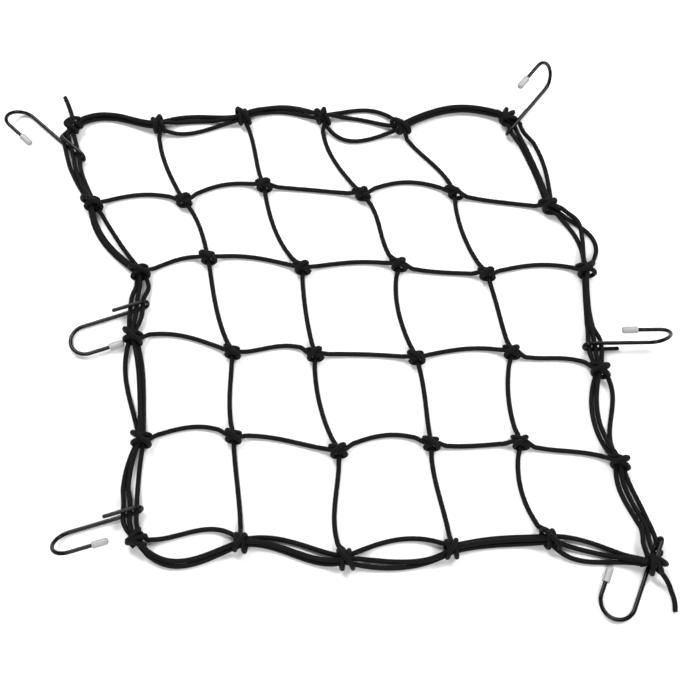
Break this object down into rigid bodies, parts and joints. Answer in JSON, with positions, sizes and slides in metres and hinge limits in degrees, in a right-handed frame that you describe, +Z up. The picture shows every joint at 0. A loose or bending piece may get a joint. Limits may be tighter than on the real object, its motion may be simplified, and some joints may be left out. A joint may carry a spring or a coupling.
{
  "type": "cargo net",
  "caption": "Knotted elastic cargo net of black round cord, square mesh with a looped cord border, and bent wire hooks with soft end caps held on the border.",
  "frame": {"origin": "on the floor under the middle of the net's bounding box", "axes": "+Z up from the floor the net lies on, +Y towards the back edge of the net, +X along the row cords towards the right side"},
  "size_m": [0.5894, 0.5124, 0.0402],
  "materials": {
    "cord": "braided elastic cord, matt black",
    "hook": "smooth glossy black coating over wire",
    "cap": "soft translucent white, satin"
  },
  "bodies": {
    "root": {"row_cord_1": "cord", "row_cord_2": "cord", "row_cord_3": "cord", "row_cord_4": "cord", "column_cord_1": "cord", "column_cord_2": "cord", "column_cord_3": "cord", "column_cord_4": "cord", "border_back_outer": "cord", "border_back_middle": "cord", "border_back_inner": "cord", "border_right_outer": "cord", "border_right_middle": "cord", "border_right_inner": "cord", "border_front_outer": "cord", "border_front_middle": "cord", "border_front_inner": "cord", "border_left_outer": "cord", "border_left_middle": "cord", "border_left_inner": "cord", "corner_knot_back_left": "cord", "corner_knot_back_right": "cord", "corner_knot_front_left": "cord", "corner_knot_front_right": "cord", "cord_tail_back_left": "cord", "cord_tail_front_right": "cord", "hook_1": "hook", "hook_2": "hook", "hook_3": "hook", "hook_4": "hook", "hook_5": "hook", "hook_6": "hook", "hook_cap_1": "cap", "hook_cap_2": "cap", "hook_cap_3": "cap", "hook_cap_4": "cap", "hook_cap_5": "cap", "hook_cap_6": "cap"}
  },
  "joints": []
}
